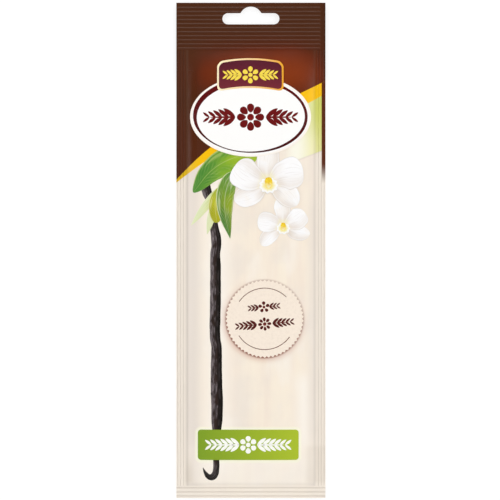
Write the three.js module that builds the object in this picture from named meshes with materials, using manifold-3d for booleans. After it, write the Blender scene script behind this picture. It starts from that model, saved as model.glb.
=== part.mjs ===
// A flat sachet of printed film for one vanilla pod, lying on its back with the printed front up.
// Two sheets are sealed together on all four sides: a deep ribbed header with a hang slot, two
// narrow ribbed side seals and a ribbed bottom seal. Between the seals the sheets part into a
// shallow pouch. Millimetres, +Z up, +Y towards the header; the origin is on the surface that the
// sachet lies on, under the middle of its outline.
import * as THREE from "three";
import { mergeVertices } from "three/addons/utils/BufferGeometryUtils.js";
import Module from "manifold-3d";

const sachetWidth = 83.7;
const sachetLength = 278;
const sealThickness = 0.4;

const headerDepth = 26.5;
const sideSealWidth = 5.8;
const bottomSealDepth = 6.9;

// Ribs stand up out of the header. The other seals have grooves pressed into them.
const headerRibs = { count: 11, first: 2.87, pitch: 2.277, halfWidth: 0.42, height: 0.22 };
const headerRibEnds = { left: 0.6, right: 3 };
const sideGrooves = { count: 3, first: 0.8, pitch: 1.6, halfWidth: 0.38, height: -0.2 };
const bottomGrooves = { count: 3, first: 1.07, pitch: 2.3, halfWidth: 0.5, height: -0.2 };

// The pouch swells above the seals, and its back lies flat on the surface below them.
const frontSwell = 2.9;
const backDrop = 1.3;
const swellReach = { side: 2.6, end: 5.5 };
const flatReach = { side: 7, end: 11 };
const crownShare = 0.22;

const slotWidth = 32;
const slotHeight = 6.3;
const slotBottomFromTop = 12.15;
const humpRise = 3.63;
const humpRadius = 6.37;
const humpFillet = 1;
const arcSegments = 12;

const halfWidth = sachetWidth / 2;
const halfLength = sachetLength / 2;
const sealMiddle = backDrop + sealThickness / 2;
const pouchHalfWidth = halfWidth - sideSealWidth;
const pouchTop = halfLength - headerDepth;
const pouchBottom = -halfLength + bottomSealDepth;

const clamp = (value, low, high) => Math.min(high, Math.max(low, value));

// Distances from an edge of the sachet at which a row of ribs or grooves begins, peaks and ends.
function ribStations(ribs) {
  const stations = [];
  for (let i = 0; i < ribs.count; i++) {
    const middle = ribs.first + i * ribs.pitch;
    stations.push(middle - ribs.halfWidth, middle, middle + ribs.halfWidth);
  }
  return stations;
}

// Height of a row of ribs or grooves at a distance from the edge that it is counted from.
function ribHeight(ribs, distance) {
  const nearest = clamp(Math.round((distance - ribs.first) / ribs.pitch), 0, ribs.count - 1);
  const offset = Math.abs(distance - ribs.first - nearest * ribs.pitch);
  return ribs.height * clamp(1 - offset / ribs.halfWidth, 0, 1);
}

// How far a point lies inside the pouch from its side seals, its header and its bottom seal.
function insetsAt(x, y) {
  return { side: pouchHalfWidth - Math.abs(x), top: pouchTop - y, bottom: y - pouchBottom };
}

// Lift of both sheets together, where the seal bars pressed their ribs and grooves.
function crimpAt(x, y) {
  const inset = insetsAt(x, y);
  if (inset.top < 0) {
    const ribbed = x > -halfWidth + headerRibEnds.left && x < halfWidth - headerRibEnds.right;
    return ribbed ? ribHeight(headerRibs, halfLength - y) : 0;
  }
  if (inset.bottom < 0) return ribHeight(bottomGrooves, y + halfLength);
  return inset.side < 0 ? ribHeight(sideGrooves, halfWidth - Math.abs(x)) : 0;
}

// Swell of the front sheet: it leaves the seals steeply and then crowns gently.
function swellAt(x, y) {
  const inset = insetsAt(x, y);
  const rise = (distance, reach) => 1 - Math.exp(-Math.max(0, distance) / reach);
  const leave =
    rise(inset.side, swellReach.side) * rise(inset.top, swellReach.end) * rise(inset.bottom, swellReach.end);
  const crown = 1 - crownShare * (x / pouchHalfWidth) ** 2;
  return frontSwell * leave * crown;
}

// Drop of the back sheet: it eases down from the seals to the surface, and lies flat there.
function dropAt(x, y) {
  const inset = insetsAt(x, y);
  const ease = (distance, reach) => THREE.MathUtils.smoothstep(distance, 0, reach);
  const share =
    ease(inset.side, flatReach.side) * ease(inset.top, flatReach.end) * ease(inset.bottom, flatReach.end);
  return backDrop * share;
}

// Evenly spaced stations strictly between two places.
function between(from, to, count) {
  return Array.from({ length: count }, (_, i) => from + ((to - from) * (i + 1)) / (count + 1));
}

const inOrder = (stations) => [...stations].sort((a, b) => a - b);

// Places across the sachet where its surface changes, mirrored about the middle.
function stationsAcross() {
  const swell = [0, 0.9, 2.1, 4, 7, 11].map((inset) => sideSealWidth + inset);
  const fromEdge = [0, ...ribStations(sideGrooves), ...swell, ...between(swell.at(-1), halfWidth, 2)];
  const left = fromEdge.map((distance) => distance - halfWidth);
  return inOrder([...left, 0, ...left.map((x) => -x)]);
}

// Places along the sachet where its surface changes, from the bottom edge to the top edge.
function stationsAlong() {
  const swell = [0, 1.4, 3.4, 6.4, 11, 17];
  const upper = [0, ...ribStations(headerRibs), ...swell.map((inset) => headerDepth + inset)];
  const lower = [0, ...ribStations(bottomGrooves), ...swell.map((inset) => bottomSealDepth + inset)];
  const top = upper.map((distance) => halfLength - distance);
  const bottom = lower.map((distance) => distance - halfLength);
  return inOrder([...top, ...bottom, ...between(bottom.at(-1), top.at(-1), 9)]);
}

// The sachet without its slot: a slab whose grid follows the stations and whose two faces follow
// the front and the back sheet.
function makeSealedSheets() {
  const across = stationsAcross();
  const along = stationsAlong();
  const columns = across.length - 1;
  const rows = along.length - 1;
  const slab = new THREE.BoxGeometry(1, 1, 1, columns, rows, 1);
  slab.deleteAttribute("normal");
  slab.deleteAttribute("uv");
  const place = slab.getAttribute("position");
  for (let i = 0; i < place.count; i++) {
    const x = across[Math.round((place.getX(i) + 0.5) * columns)];
    const y = along[Math.round((place.getY(i) + 0.5) * rows)];
    const seal = sealMiddle + crimpAt(x, y);
    const front = seal + sealThickness / 2 + swellAt(x, y);
    const back = seal - sealThickness / 2 - dropAt(x, y);
    place.setXYZ(i, x, y, place.getZ(i) > 0 ? front : back);
  }
  return mergeVertices(slab, 1e-5);
}

// Outline of the hang slot, about the middle of its straight bottom edge: a bar with round ends
// and a round hump, which meets the bar in two small fillets.
function slotOutline() {
  const endRadius = slotHeight / 2;
  const endX = slotWidth / 2 - endRadius;
  const humpY = slotHeight + humpRise - humpRadius;
  const filletY = slotHeight + humpFillet;
  const filletX = Math.sqrt((humpRadius + humpFillet) ** 2 - (filletY - humpY) ** 2);
  const filletTurn = Math.atan2(filletY - humpY, filletX);
  const quarter = Math.PI / 2;
  const outline = new THREE.Shape();
  outline.moveTo(-endX, 0);
  outline.lineTo(endX, 0);
  outline.absarc(endX, endRadius, endRadius, -quarter, quarter, false);
  outline.absarc(filletX, filletY, humpFillet, -quarter, filletTurn - Math.PI, true);
  outline.absarc(0, humpY, humpRadius, filletTurn, Math.PI - filletTurn, false);
  outline.absarc(-filletX, filletY, humpFillet, -filletTurn, -quarter, true);
  outline.absarc(-endX, endRadius, endRadius, quarter, 3 * quarter, false);
  return outline;
}

// The punch that cuts the slot, long enough to pass through both sheets.
function makeSlotPunch() {
  const punchLength = 4 * backDrop;
  const settings = { depth: punchLength, bevelEnabled: false, curveSegments: arcSegments };
  const punch = new THREE.ExtrudeGeometry(slotOutline(), settings);
  punch.translate(0, halfLength - slotBottomFromTop, sealMiddle - punchLength / 2);
  punch.deleteAttribute("normal");
  punch.deleteAttribute("uv");
  return mergeVertices(punch, 1e-5);
}

const wasm = await Module();
wasm.setup();

function toSolid(geometry) {
  const vertProperties = new Float32Array(geometry.getAttribute("position").array);
  const triVerts = new Uint32Array(geometry.index.array);
  return new wasm.Manifold(new wasm.Mesh({ numProp: 3, vertProperties, triVerts }));
}

function toGeometry(solid) {
  const { vertProperties, triVerts } = solid.getMesh();
  const geometry = new THREE.BufferGeometry();
  geometry.setAttribute("position", new THREE.BufferAttribute(vertProperties, 3));
  geometry.setIndex(new THREE.BufferAttribute(triVerts, 1));
  geometry.computeVertexNormals();
  return geometry;
}

function makeSachet() {
  const solid = toSolid(makeSealedSheets()).subtract(toSolid(makeSlotPunch()));
  const creamFilm = new THREE.MeshStandardMaterial({ color: 0xf0dfcd, roughness: 0.4, metalness: 0 });
  const sachet = new THREE.Mesh(toGeometry(solid), creamFilm);
  sachet.name = "sachet";
  return sachet;
}

const part = new THREE.Group();
part.add(makeSachet());

export default part;
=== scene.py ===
# A vanilla pod's sachet of printed film, lying on its back on a pale floor and seen from above.
# x runs to the right of the front, y towards the header with the hang slot, and z out of the front.
# Lengths are metres, mostly as numbers times mm. Only the dictionaries of the print hold millimetres.
import bpy
import math
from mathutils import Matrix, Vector


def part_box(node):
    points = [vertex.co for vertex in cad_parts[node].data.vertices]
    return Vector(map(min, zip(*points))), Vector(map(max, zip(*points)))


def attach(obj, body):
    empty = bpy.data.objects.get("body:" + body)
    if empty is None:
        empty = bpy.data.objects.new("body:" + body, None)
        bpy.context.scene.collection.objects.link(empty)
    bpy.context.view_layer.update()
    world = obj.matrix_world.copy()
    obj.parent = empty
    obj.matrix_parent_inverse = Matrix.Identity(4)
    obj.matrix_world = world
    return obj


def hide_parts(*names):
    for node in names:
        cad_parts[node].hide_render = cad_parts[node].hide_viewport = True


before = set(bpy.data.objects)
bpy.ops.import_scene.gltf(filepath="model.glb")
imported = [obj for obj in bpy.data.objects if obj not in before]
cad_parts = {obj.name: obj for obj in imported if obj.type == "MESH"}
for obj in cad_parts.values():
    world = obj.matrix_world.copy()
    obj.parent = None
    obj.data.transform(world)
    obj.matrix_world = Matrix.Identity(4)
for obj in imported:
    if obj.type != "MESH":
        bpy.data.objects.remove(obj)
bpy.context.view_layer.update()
mm = 0.001
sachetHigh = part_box("sachet")[1]
halfWidth, halfLength = sachetHigh.x, sachetHigh.y
body = "root"
fullTurn = 2 * math.pi
print("frame loaded, sachet", round(2 * halfWidth / mm, 1), "by", round(2 * halfLength / mm, 1), "mm")


# Values in node trees, so that a rule reads as a formula

class Field:
    def __init__(self, tree, socket):
        self.tree = tree
        self.socket = socket

    def calc(self, operation, *others):
        inputs = dict(enumerate((self, *others)))
        return result(self.tree, "ShaderNodeMath", inputs, operation=operation)

    def __rsub__(self, other):
        return self * -1.0 + other

    def ramp(self, low, high, kind="LINEAR"):  # 0 at low, 1 at high
        inputs = {"Value": self, "From Min": low, "From Max": high}
        return result(self.tree, "ShaderNodeMapRange", inputs, interpolation_type=kind)

    def smooth(self, low, high):
        return self.ramp(low, high, "SMOOTHSTEP")


operations = {
    "__add__": "ADD", "__radd__": "ADD", "__sub__": "SUBTRACT", "__mul__": "MULTIPLY",
    "__rmul__": "MULTIPLY", "__truediv__": "DIVIDE", "__pow__": "POWER", "__abs__": "ABSOLUTE",
    "atLeast": "MAXIMUM", "atMost": "MINIMUM", "above": "GREATER_THAN", "below": "LESS_THAN",
    "cos": "COSINE", "sin": "SINE", "exp": "EXPONENT", "root": "SQRT", "floor": "FLOOR",
}
for method, operation in operations.items():
    setattr(Field, method, lambda self, *others, kind=operation: self.calc(kind, *others))


def addNode(tree, kind, inputs=None, **settings):
    node = tree.nodes.new(kind)
    for setting, value in settings.items():
        setattr(node, setting, value)
    for name, value in (inputs or {}).items():
        if isinstance(value, Field):
            tree.links.new(value.socket, node.inputs[name])
        else:
            node.inputs[name].default_value = value
    return node


def out(node, name=0):
    return Field(node.id_data, node.outputs[name])


def result(tree, kind, inputs=None, **settings):  # the first output of a new node
    return out(addNode(tree, kind, inputs, **settings))


def split(vector):
    node = addNode(vector.tree, "ShaderNodeSeparateXYZ", {0: vector})
    return [out(node, axis) for axis in range(3)]


def join(x, y, z=0.0):
    tree = next(value.tree for value in (x, y, z) if isinstance(value, Field))
    return result(tree, "ShaderNodeCombineXYZ", {"X": x, "Y": y, "Z": z})


def noise(x, y, z=0.0, detail=2.0, roughness=0.5):  # about 0 to 1
    inputs = {"Vector": join(x, y, z), "Scale": 1.0, "Detail": detail, "Roughness": roughness}
    return result(x.tree, "ShaderNodeTexNoise", inputs)


def bell(value, centre, reach):  # 1 at the centre, fading to 0 past the reach
    offset = (value - centre) / reach
    return (offset * offset * -1.0).exp()


# Geometry node trees

socketKinds = {float: "NodeSocketFloat", int: "NodeSocketInt"}


def startTree(name, inputs):
    tree = bpy.data.node_groups.new(name, "GeometryNodeTree")
    for way in ("OUTPUT", "INPUT"):
        tree.interface.new_socket(name="Geometry", in_out=way, socket_type="NodeSocketGeometry")
    for label, value in inputs.items():
        kind = socketKinds.get(type(value)) or "NodeSocket" + value
        socket = tree.interface.new_socket(name=label, in_out="INPUT", socket_type=kind)
        if not isinstance(value, str):
            socket.default_value = value
    given = tree.nodes.new("NodeGroupInput")
    return tree, {socket.name: Field(tree, socket) for socket in given.outputs if socket.name}


def change(geometry, kind, inputs=None, **settings):
    return result(geometry.tree, "GeometryNode" + kind, {0: geometry, **(inputs or {})}, **settings)


def endTree(geometry, material=None):
    if material is not None:
        geometry = change(change(geometry, "RealizeInstances"), "SetMaterial", {"Material": material})
    addNode(geometry.tree, "NodeGroupOutput", {"Geometry": geometry})
    return geometry.tree


def place(tree):
    return split(result(tree, "GeometryNodeInputPosition"))


def shapeOf(item):
    return out(addNode(item.tree, "GeometryNodeObjectInfo", {"Object": item}), "Geometry")


def moveTo(geometry, x, y, z=0.0):
    return change(geometry, "SetPosition", {"Position": join(x, y, z)})


def storeUv(geometry, u, v):
    inputs = {"Name": "UVMap", "Value": join(u, v)}
    return change(geometry, "StoreNamedAttribute", inputs, data_type="FLOAT2", domain="CORNER")


weldGap = 0.002 * mm


def weld(geometry):
    return change(geometry, "MergeByDistance", {"Distance": weldGap})


def gridOf(columns, rows):  # a unit grid about the origin, and the place of its points
    inputs = {"Size X": 1.0, "Size Y": 1.0, "Vertices X": columns + 1, "Vertices Y": rows + 1}
    gx, gy, gz = place(columns.tree)
    return result(columns.tree, "GeometryNodeMeshGrid", inputs), gx, gy


def addObject(name, data):
    item = bpy.data.objects.new(name, data)
    bpy.context.scene.collection.objects.link(item)
    return item


# Runs a tree and keeps its result as a plain mesh.
def makeMesh(name, tree, values, cutter=None):
    piece = addObject(name, bpy.data.meshes.new(name + "Start"))
    modifier = piece.modifiers.new(tree.name, "NODES")
    modifier.node_group = tree
    for item in tree.interface.items_tree:
        if item.in_out == "INPUT" and item.name in values:
            modifier[item.identifier] = values[item.name]
    if cutter is not None:
        cut = piece.modifiers.new("slot", "BOOLEAN")
        cut.operation = "DIFFERENCE"
        cut.solver = "MANIFOLD"
        cut.object = cutter
    depsgraph = bpy.context.evaluated_depsgraph_get()
    depsgraph.update()
    mesh = bpy.data.meshes.new_from_object(piece.evaluated_get(depsgraph), depsgraph=depsgraph)
    mesh.name = name
    start = piece.data
    piece.modifiers.clear()
    piece.data = mesh
    bpy.data.meshes.remove(start)
    return piece


edgeAngle = math.radians(42)


def finishPiece(piece):
    piece.data.shade_smooth()
    piece.data.set_sharp_from_angle(angle=edgeAngle)
    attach(piece, body)
    return piece


# Materials

def ink(code):  # a printed colour such as "f0dac8", as linear light
    channels = [int(code[i:i + 2], 16) / 255 for i in (0, 2, 4)]
    return tuple(c / 12.92 if c <= 0.04045 else ((c + 0.055) / 1.055) ** 2.4 for c in channels) + (1.0,)


def inks(**codes):
    return {name: ink(code) for name, code in codes.items()}


def mix(share, first, second, blend="MIX"):
    inputs = {0: share, 6: first, 7: second}
    return out(addNode(share.tree, "ShaderNodeMix", inputs, data_type="RGBA", blend_type=blend), 2)


# Coats of colour over a first one. Each is a share and a colour, or a colour's name in the palette.
def coats(palette, colour, *layers):
    def named(choice):
        return palette[choice] if isinstance(choice, str) else choice

    for share, layer in layers:
        colour = mix(share, named(colour), named(layer))
    return colour


def startMaterial(name, specular):
    material = bpy.data.materials.new(name)
    material.use_nodes = True
    shader = next(node for node in material.node_tree.nodes if node.type == "BSDF_PRINCIPLED")
    shader.inputs["Specular IOR Level"].default_value = specular
    return material, shader


def coordinates(tree, kind):
    return split(out(addNode(tree, "ShaderNodeTexCoord"), kind))


def millimetres(tree):
    x, y, z = coordinates(tree, "Object")
    return x / mm, y / mm


def uvOf(tree):
    return coordinates(tree, "UV")[:2]


filmFinish = {
    "roughness": 0.36,
    "roughnessSpread": 0.1,
    "specular": 0.35,
    "grainSize": 0.7 * mm,
    "grainHeight": 0.004 * mm,
    "creaseSize": 9 * mm,
    "creaseHeight": 0.03 * mm,
}


# All print lies under the same film, so its gloss and its fine creases run on from piece to piece.
# The paint is a rule that gives the colour in a tree, and the polish one that takes roughness away.
def makeFilmMaterial(name, paint, polish=None):
    material, shader = startMaterial(name, filmFinish["specular"])
    tree = material.node_tree
    x, y, z = coordinates(tree, "Object")
    grain = noise(x / filmFinish["grainSize"], y / filmFinish["grainSize"], detail=3.0)
    crease = noise(x / filmFinish["creaseSize"], y / (2.5 * filmFinish["creaseSize"]), detail=3.0)
    spread = filmFinish["roughnessSpread"]
    roughness = crease * spread + (filmFinish["roughness"] - spread / 2)
    if polish is not None:
        roughness = roughness - polish(tree)
    height = grain * filmFinish["grainHeight"] + crease * filmFinish["creaseHeight"]
    bump = result(tree, "ShaderNodeBump", {"Height": height, "Strength": 1.0, "Distance": 1.0})
    tree.links.new(roughness.socket, shader.inputs["Roughness"])
    tree.links.new(bump.socket, shader.inputs["Normal"])
    colour = paint(tree)
    if isinstance(colour, Field):
        tree.links.new(colour.socket, shader.inputs["Base Color"])
    else:
        shader.inputs["Base Color"].default_value = colour
    return material


# One plain ink, or two that blend along the shape, across it or round it
def makeInkMaterial(name, first, second=None, blend="along"):
    def paint(tree):
        if second is None:
            return first
        u, v = uvOf(tree)
        if blend == "round":
            return mix((u * fullTurn).sin() * 0.5 + 0.5, first, second)
        return mix(u if blend == "along" else v, first, second)

    return makeFilmMaterial(name, paint)


def distanceFrom(x, y, centre):
    dx, dy = x - centre[0], y - centre[1]
    return (dx * dx + dy * dy).root()


def boxDistance(x, y, centre, half, corner):  # from a rectangle with round corners, in its units
    dx = (abs(x - centre[0]) - (half[0] - corner)).atLeast(0.0)
    dy = (abs(y - centre[1]) - (half[1] - corner)).atLeast(0.0)
    return (dx * dx + dy * dy).root() - corner


# The sachet's own film: two sheets sealed on four sides, with pressed ribs and a shallow pouch.
film = {
    "Seal Middle": 1.5 * mm,
    "Film Thickness": 0.26 * mm,
    "Header Depth": 26.5 * mm,
    "Side Seal": 5.8 * mm,
    "Bottom Seal": 6.9 * mm,
    "Front Swell": 2.75 * mm,
    "Back Drop": 1.37 * mm,
    "Side Reach": 4.6 * mm,
    "End Reach": 9 * mm,
    "Crown Share": 0.22,
    "Rib Count": 11,
    "Rib First": 2.87 * mm,
    "Rib Pitch": 2.277 * mm,
    "Rib Height": 0.24 * mm,
    "Groove Count": 3,
    "Side Groove First": 0.8 * mm,
    "Side Groove Pitch": 1.6 * mm,
    "Bottom Groove First": 1.07 * mm,
    "Bottom Groove Pitch": 2.3 * mm,
    "Groove Depth": 0.17 * mm,
    "Pucker": 0.3 * mm,
    "Wave": 0.5 * mm,
    "Curl": 0.3 * mm,
    "Seed": 4,
    "Header Rows": 140,
    "Pouch Rows": 196,
    "Bottom Rows": 30,
    "Side Columns": 26,
    "Pouch Columns": 62,
}
rowsPerRib = 12
rowsPerGroove = 10
columnsPerGroove = 7


# Stations crowd towards the ends of a stretch, where the film bends most.
def crowdEnds(share, crowding=0.35):
    centred = share * 2.0 - 1.0
    eased = centred * ((1.0 - centred * centred) * crowding + 1.0)
    return eased * 0.5 + 0.5


def rise(distance, reach):
    return 1.0 - ((distance.atLeast(0.0) / reach) ** 1.25 * -1.0).exp()


# One bell-shaped ridge in every pitch, counted from the first one.
def ridges(distance, first, pitch, count, sharpness=3.0):
    wave = ((distance - first) / pitch * fullTurn).cos() * 0.5 + 0.5
    within = distance.above(first - pitch * 0.5) * (1.0 - distance.above(first + pitch * (count - 0.5)))
    return wave ** sharpness * within


# Printed fields of the front, and the painted light and shade over them. Each edge is a cubic in x, lowest
# power first.
frontPaint = {
    "brownEdge": (73.23, 0.5909, -0.003295, 0.0000414),
    "bandEdge": (65.15, 0.5533, -0.00122, 0.0000254),
    "bandFade": (-40, -25),
    "edgeBlur": 0.12,
    "glowCentre": (12, 99),
    "glowReach": (42, 14),
    "stripInner": 39.75,
    "stripFade": (37.5, 49.5),
    "paleLine": (53.7, 33.8, 0.39),  # height where it crosses x, and slope
    "paleFade": (25, 38),
    "paleLightFade": (17, 25),
    "shoulderPolish": 0.2,
    "plankSize": (10, 120),
    "podHalo": (-19.0, 8.5),  # centre and reach across
    "podRim": (-18.5, 4.6),
    "greyStreak": (-6.0, 5.5),
    # centre and reach across of a painted reflection streak on the right of the pouch
    "reflectionStreak": (29.7, 4.5),
    "sealInner": 36,
    **inks(
        brown="4c2711", brownDark="3a1d0d", glow="86350e", glowEdge="5c220c", strip="5c270d",
        band="fbc208", bandDark="dcb41a", pale="d3d76e", paleLow="eee9ae", paleLight="fdfaea",
        cream="fbefdd", creamLight="fdf5ea", creamGrey="e9dfd6", creamSide="e3d9cf",
        creamPink="f3e2d3", sealCream="f4eadd", cornerShade="c4b6a3",
    ),
}


def overEdge(x, y, name):  # 1 above an edge of the front print, 0 below it
    total = x * frontPaint[name][3] + frontPaint[name][2]
    for term in frontPaint[name][1::-1]:
        total = total * x + term
    blur = frontPaint["edgeBlur"]
    return (y - total).smooth(-blur, blur)


def creamField(x, y):
    wide, tall = frontPaint["plankSize"]
    plank = noise(x / wide, y / tall, 3.0, detail=4.0, roughness=0.6)
    cloud = noise(x / (2.4 * wide), y / (3 * wide), 8.0, detail=3.0)
    # painted sheen: soft lighter patches that stand in for reflections in the film's gloss
    sheen = noise(x / (1.5 * wide), y / (4 * wide), 12.0, detail=3.0)
    # painted light: the pouch is painted lighter towards its foot, above the bottom seal, and its painted
    # side shade is halved there
    footLight = y.smooth(-100.0, -120.0) * y.smooth(-133.5, -130.5)
    low = y.smooth(-64.0, -76.0) * y.smooth(-116.0, -104.0)
    # painted shade along the pouch's sides, where the film bends down to the side seals; on the right it is
    # weaker towards the top
    rightSide = x.smooth(29.0, 35.5) * (0.7 - y.smooth(20.0, 48.0) * 0.35)
    sides = (x.smooth(-24.0, -33.0) + rightSide) * (1.0 - footLight * 0.5)
    inner = frontPaint["sealInner"]
    seal = (abs(x).smooth(inner - 0.4, inner + 0.4) + y.smooth(-131.8, -132.4)).atMost(1.0)
    # painted shade in the pouch's lower corners, on the left along the fold by the seal
    rightCorner = x.smooth(29.5, 33.0) * y.smooth(-108.0, -111.5)
    leftCorner = bell(x, -34.6, 2.4) * y.smooth(-110.0, -126.0)
    corners = (rightCorner * 0.18 + leftCorner * 0.33) * y.smooth(-131.8, -129.0)
    return coats(
        frontPaint, "cream",
        (plank.smooth(0.36, 0.7) * 0.6, "creamPink"),
        (cloud.smooth(0.42, 0.72) * 0.55, "creamGrey"),
        (sheen.smooth(0.5, 0.7) * 0.55, "creamLight"),
        (footLight * 0.6, "creamLight"),
        (bell(x, *frontPaint["greyStreak"]) * low * 0.45, "creamGrey"),
        # painted reflection: a long light streak down the right of the pouch
        (bell(x, *frontPaint["reflectionStreak"]) * low * 0.9, "creamLight"),
        (sides * 0.9, "creamSide"),
        (seal * 0.8, "sealCream"),
        (corners, "cornerShade"))


# Painted shade: the film is painted a little darker in each pressed groove, and a painted grey line runs in
# the fold along the pouch, shade on the cream and a faint painted highlight on the brown.
sealShade = {
    "tint": (0.62, 0.58, 0.56, 1.0),
    "sharpness": 4.0,
    "sideGroove": 0.48,
    "bottomGroove": 0.62,
    "fold": ink("65574b"),
    "foldLeft": 0.19,
    "foldRight": 0.13,
    "foldWidth": 0.8,
    "bottomFold": 0.1,
}


def shadeSeals(x, y, colour):
    edge = halfWidth / mm - abs(x)
    top = halfLength / mm - y
    bottom = y + halfLength / mm
    size = {key: value / mm for key, value in film.items() if isinstance(value, float)}
    header, sideSeal, bottomSeal = size["Header Depth"], size["Side Seal"], size["Bottom Seal"]
    besidePouch = top.smooth(header - 0.3, header + 0.3) * bottom.smooth(bottomSeal - 0.5, bottomSeal + 0.5)

    def lines(distance, side):
        first, pitch = size[side + " Groove First"], size[side + " Groove Pitch"]
        return ridges(distance, first, pitch, film["Groove Count"], sealShade["sharpness"])

    fold = bell(edge, sideSeal + 0.25, sealShade["foldWidth"]) * besidePouch
    lowFold = bell(bottom, bottomSeal + 0.9, 0.9) * edge.smooth(sideSeal, sideSeal + 1)
    left, right = sealShade["foldLeft"], sealShade["foldRight"]
    folds = fold * (x.above(0.0) * (right - left) + left) + lowFold * sealShade["bottomFold"]
    grooves = lines(edge, "Side") * besidePouch * sealShade["sideGroove"]
    grooves = grooves + lines(bottom, "Bottom") * sealShade["bottomGroove"]
    return mix(grooves, mix(folds, colour, sealShade["fold"]), sealShade["tint"], "MULTIPLY")


label = {
    "centre": (-1.5, -108.8),
    "half": (28.2, 8.5),
    "corner": 1.8,
    **inks(halo="fdfce0", left="7f9f2a", right="aec231", white="fdfdf6"),
    "laurel": {
        "hub": 1.3, "petals": 6, "petalLength": 4.9, "petalHalfWidth": 1.45,
        "from": 5.0, "to": 20.6, "stem": 0.45,
        "pairs": 6, "leafLength": 6.2, "leafHalfWidth": 1.0, "lean": 38.0, "endScale": 0.72,
    },
}

roundel = {
    "centre": (7.7, -38.3),
    "radius": 21.9,
    "teeth": 58,
    "toothDepth": 1.0,
    "arcRadius": 17.4,
    "arcStroke": 0.42,
    "arcs": ((45, 101), (213, 111)),  # start and sweep in degrees
    "tilt": 5.0,
    **inks(paper="faecdc", paperDark="efe0d0", halo="cf9f8d", haloDark="8f5a49"),
    **inks(line="6f4a3e", mark="561d1a", markLight="7c3730"),
    "laurelUpper": {
        "offset": (-0.4, 6.6),
        "hub": 0.8, "petals": 5, "petalLength": 3.2, "petalHalfWidth": 0.9,
        "from": 3.0, "to": 7.0, "stem": 0.25,
        "pairs": 3, "leafLength": 3.3, "leafHalfWidth": 0.55, "lean": 36.0, "endScale": 0.8,
    },
    "laurelLower": {
        "offset": (0, -2.9),
        "hub": 1.0, "petals": 8, "petalLength": 3.7, "petalHalfWidth": 0.8,
        "from": 4.4, "to": 14.2, "stem": 0.3,
        "pairs": 5, "leafLength": 4.6, "leafHalfWidth": 0.75, "lean": 36.0, "endScale": 0.65,
    },
}


def paintFront(tree):
    x, y = millimetres(tree)

    # pale green corner under the band, with a thin line of painted shade, as from a crease, along its lower
    # edge
    level, across, slope = frontPaint["paleLine"]
    height = y - (x - across) * slope
    overLine = height.smooth(level - 0.3, level + 0.3)
    pale = coats(frontPaint, "paleLow", (y.smooth(54.0, 80.0), "pale"))
    crease = bell(height, level - 0.2, 0.5) * x.smooth(20.0, 30.0)
    colour = coats(
        frontPaint, creamField(x, y),
        (overLine * x.smooth(*frontPaint["paleLightFade"]), "paleLight"),
        (overLine * x.smooth(*frontPaint["paleFade"]), pale),
        (overLine * x.smooth(35.5, 37.5) * 0.4, "pale"),
        (crease * 0.12, sealShade["fold"]))

    # pale halos round the pod and the label, and a brown one round the roundel
    alongPod = y.smooth(44.0, 30.0) * y.smooth(-134.0, -120.0)
    podHalo = bell(x, *frontPaint["podHalo"]) * 0.6 + bell(x, *frontPaint["podRim"]) * 0.5
    labelGap = boxDistance(x, y, label["centre"], label["half"], label["corner"])
    centre, radius = roundel["centre"], roundel["radius"]
    ringGap = distanceFrom(x, y, centre) - radius
    turn = ((x - centre[0]) * -0.5 - (y - centre[1])) / radius
    colour = coats(
        frontPaint, colour,
        ((podHalo * alongPod).atMost(1.0), "creamLight"),
        (labelGap.smooth(2.4, 0.2) * 0.75, label["halo"]),
        (bell(ringGap, 0.0, 2.2) * turn.ramp(-1.0, 1.1) * 0.5, roundel["halo"]),
        (bell(ringGap, -0.45, 0.75) * turn.ramp(-2.6, 1.0), roundel["haloDark"]))

    # yellow band, the brown field over it, and the narrow brown strip on the right seal
    band = coats(frontPaint, "bandDark", (x.smooth(*frontPaint["bandFade"]), "band"))
    glow = bell(x, frontPaint["glowCentre"][0], frontPaint["glowReach"][0])
    glow = glow * bell(y, frontPaint["glowCentre"][1], frontPaint["glowReach"][1])
    mottle = noise(x / 14.0, y / 14.0, 5.0, detail=4.0)
    atSides = x.smooth(-26.0, -34.0) * 0.5 + x.smooth(26.0, 41.0) * 0.34
    glow = glow * (mottle * 0.5 + 0.75) * (1.0 - atSides)
    rim = x.smooth(38.5, 41.5) * 0.35 + (abs(x) - halfWidth / mm).smooth(-0.7, -0.2) * 0.5
    brown = coats(
        frontPaint, "brown",
        (glow.ramp(0.0, 0.45), "glowEdge"),
        (glow.ramp(0.25, 1.0), "glow"),
        (y.smooth(88.0, 70.0) * 0.3, "glowEdge"),
        (rim, "brownDark"))
    overBrown = overEdge(x, y, "brownEdge")
    inner, blur = frontPaint["stripInner"], frontPaint["edgeBlur"]
    strip = x.smooth(inner - blur, inner + blur) * y.smooth(*frontPaint["stripFade"]) ** 0.6
    colour = coats(
        frontPaint, colour,
        (overEdge(x, y, "bandEdge"), band),
        (overBrown, brown),
        (strip * (1.0 - overBrown), "strip"))
    return shadeSeals(x, y, colour)


def polishFront(tree):  # smoother where the dark film bends on the left, so it mirrors less
    x, y = millimetres(tree)
    shoulder = x.smooth(-28.0, -33.0) * x.smooth(-37.0, -35.0) * y.smooth(113.0, 84.0)
    return shoulder * overEdge(x, y, "brownEdge") * frontPaint["shoulderPolish"]


backPrint = {
    "headerEdge": 96,
    "ruleWidth": 1.4,
    "panelCentre": (0, -8),
    "panelHalf": (27, 78),
    "panelCorner": 3,
    "panelRim": 0.5,
    **inks(panel="fbf6ee", rim="c9a98c"),
}


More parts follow.
